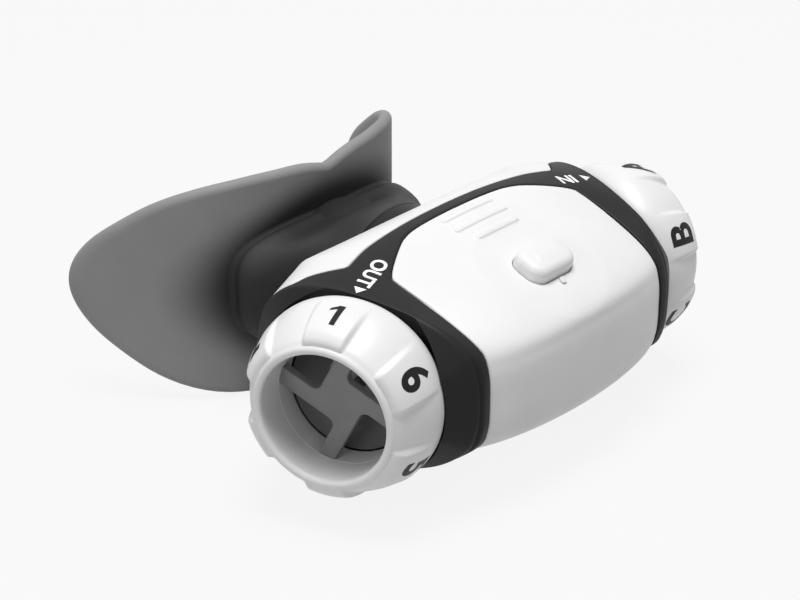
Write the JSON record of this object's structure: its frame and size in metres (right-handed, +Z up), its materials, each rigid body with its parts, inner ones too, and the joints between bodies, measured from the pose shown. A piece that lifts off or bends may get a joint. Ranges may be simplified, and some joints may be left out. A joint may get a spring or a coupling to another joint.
{
  "type": "breathing trainer",
  "caption": "Hand-held breathing trainer: black frame with two turning resistance dials, white shells, a pull-off electronics unit in front and a curved silicone mouthpiece behind.",
  "frame": {"origin": "centre of the bounding box", "axes": "+X along the line of the two dials, towards the IN dial; +Y towards the user, the way the mouthpiece points; +Z up, through the power button's side"},
  "size_m": [0.0872, 0.0794, 0.0374],
  "materials": {
    "white_plastic": "satin white",
    "black_plastic": "satin black",
    "grey_plastic": "moulded grey",
    "silicone": "soft matt dark grey",
    "clear_silicone": "milky",
    "steel": "bright",
    "board": "solder resist",
    "cell": "foil",
    "lens": "clear diffuser"
  },
  "bodies": {
    "body": {"frame": "black_plastic", "rear_shell": "white_plastic", "airway_body": "black_plastic", "out_aperture_plate": "grey_plastic", "in_aperture_plate": "grey_plastic", "out_valve_seat": "grey_plastic", "in_valve_seat": "grey_plastic", "out_dial_seal": "silicone", "in_dial_seal": "silicone", "out_snap_ring": "steel", "in_snap_ring": "steel", "out_click_spring": "steel", "in_click_spring": "steel", "frame_screws": "steel"},
    "electronics_unit": {"front_shell": "white_plastic", "carrier_plate": "black_plastic", "circuit_board": "board", "battery": "cell", "pressure_sensor": "grey_plastic", "sensor_seal": "silicone", "charging_socket": "steel", "button_switch": "grey_plastic", "status_light": "lens", "carrier_screws": "steel"},
    "power_button": {"power_button": "white_plastic"},
    "out_dial": {"out_dial": "white_plastic"},
    "in_dial": {"in_dial": "white_plastic"},
    "out_valve_membrane": {"out_valve_membrane": "clear_silicone"},
    "in_valve_membrane": {"in_valve_membrane": "clear_silicone"},
    "mouthpiece": {"mouthpiece": "silicone"}
  },
  "joints": [
    {"name": "out_dial_turn", "type": "hinge", "parent": "body", "child": "out_dial", "pos_m": [-0.032, -0.01967, 0], "axis": [0.9603, 0.279, 0], "range_deg": [0, 300]},
    {"name": "in_dial_turn", "type": "hinge", "parent": "body", "child": "in_dial", "pos_m": [0.032, -0.01967, 0], "axis": [-0.9603, 0.279, 0], "range_deg": [0, 300]},
    {"name": "electronics_release", "type": "slide", "parent": "body", "child": "electronics_unit", "axis": [0, -1, 0], "range_m": [0, 0.012]},
    {"name": "power_button_press", "type": "slide", "parent": "electronics_unit", "child": "power_button", "axis": [0, 0.3746, -0.9272], "range_m": [0, 0.0006], "stiffness_N_per_m": 300, "springref_m": -0.001},
    {"name": "out_valve_lift", "type": "slide", "parent": "body", "child": "out_valve_membrane", "axis": [-0.9603, -0.279, 0], "range_m": [0, 0.0008], "stiffness_N_per_m": 5, "springref_m": -0.001},
    {"name": "in_valve_lift", "type": "slide", "parent": "body", "child": "in_valve_membrane", "axis": [-0.9603, 0.279, 0], "range_m": [0, 0.0008], "stiffness_N_per_m": 5, "springref_m": -0.001},
    {"name": "mouthpiece_pull", "type": "slide", "parent": "body", "child": "mouthpiece", "axis": [0, 1, 0], "range_m": [0, 0.014]}
  ]
}
